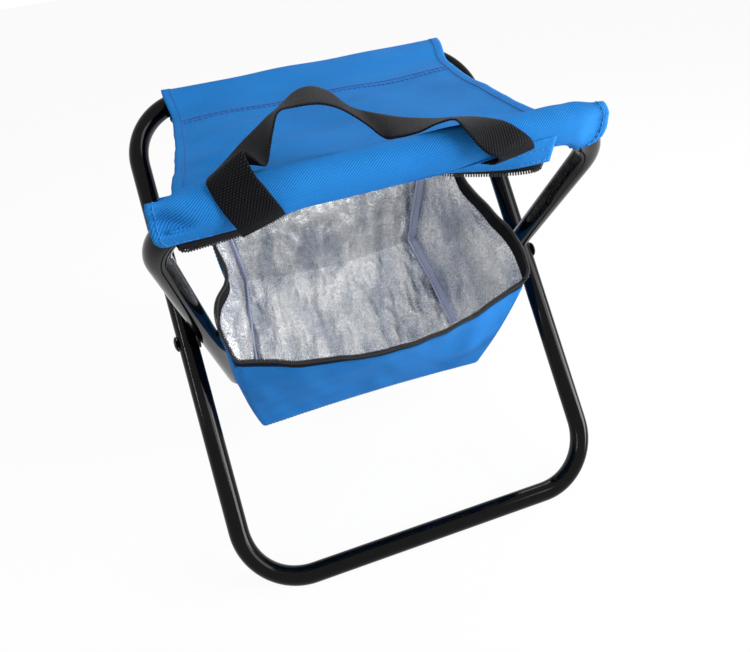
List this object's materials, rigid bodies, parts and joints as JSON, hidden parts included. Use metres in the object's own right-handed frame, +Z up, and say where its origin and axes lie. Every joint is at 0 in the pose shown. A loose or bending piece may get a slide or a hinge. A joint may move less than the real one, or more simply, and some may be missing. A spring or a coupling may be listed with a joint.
{
  "type": "folding cooler stool",
  "caption": "Folding stool: crossed black steel loops, a slung blue cloth seat with a webbing handle, and an insulated foil-lined bag hanging unzipped under it.",
  "frame": {"origin": "On the floor, midway between the two floor bars and midway between the left and right legs.", "axes": "+Z is up, -Y is the front, where the carry handle and the open side of the bag are, and +X is to the right as seen from the front."},
  "size_m": [0.3288, 0.2874, 0.3618],
  "materials": {
    "black_steel": "glossy black powder coat",
    "black_fittings": "black plated steel",
    "black_nylon": "moulded, matt",
    "blue_polyester": "coarse twill weave",
    "insulating_foam": "closed cell foam sheet",
    "silver_foil": "embossed, crinkled foil film",
    "grey_binding": "folded non-woven tape",
    "black_webbing": "ribbed weave"
  },
  "bodies": {
    "outer_frame": {"outer_frame_tube": "black_steel", "rear_sleeve": "blue_polyester", "seat_panel": "blue_polyester", "rear_sleeve_underside": "blue_polyester", "lid_foam": "insulating_foam", "lid_lining": "silver_foil", "lower_zip_tape": "black_webbing", "lower_zip_coil": "black_webbing", "zip_slider": "black_fittings", "left_pivot_rivet": "black_fittings", "left_pivot_spacer": "black_nylon", "left_pivot_washer": "black_fittings", "left_back_binding": "grey_binding", "left_floor_binding": "grey_binding", "right_pivot_rivet": "black_fittings", "right_pivot_spacer": "black_nylon", "right_pivot_washer": "black_fittings", "right_back_binding": "grey_binding", "right_floor_binding": "grey_binding", "bag_front_shell": "blue_polyester", "bag_front_foam": "insulating_foam", "bag_front_lining": "silver_foil", "bag_back_shell": "blue_polyester", "bag_back_foam": "insulating_foam", "bag_back_lining": "silver_foil", "bag_left_shell": "blue_polyester", "bag_left_foam": "insulating_foam", "bag_left_lining": "silver_foil", "bag_right_shell": "blue_polyester", "bag_right_foam": "insulating_foam", "bag_right_lining": "silver_foil", "bag_floor_shell": "blue_polyester", "bag_floor_foam": "insulating_foam", "bag_floor_lining": "silver_foil"},
    "inner_frame": {"inner_frame_tube": "black_steel", "front_sleeve": "blue_polyester", "front_flap": "blue_polyester", "upper_zip_tape": "black_webbing", "upper_zip_coil": "black_webbing", "carry_handle": "black_webbing"},
    "zip_pull": {"zip_pull": "black_fittings"}
  },
  "joints": [
    {"name": "frame_fold", "type": "hinge", "parent": "outer_frame", "child": "inner_frame", "pos_m": [0, 0, 0.16887], "axis": [-1, 0, 0], "range_deg": [0, 70], "deforming": ["seat_panel", "rear_sleeve_underside", "lid_foam", "lid_lining", "upper_zip_tape", "upper_zip_coil", "carry_handle"]},
    {"name": "pull_swing", "type": "hinge", "parent": "outer_frame", "child": "zip_pull", "pos_m": [0.11997, 0.07375, 0.30445], "axis": [1, 0, 0], "range_deg": [-70, 70]}
  ]
}
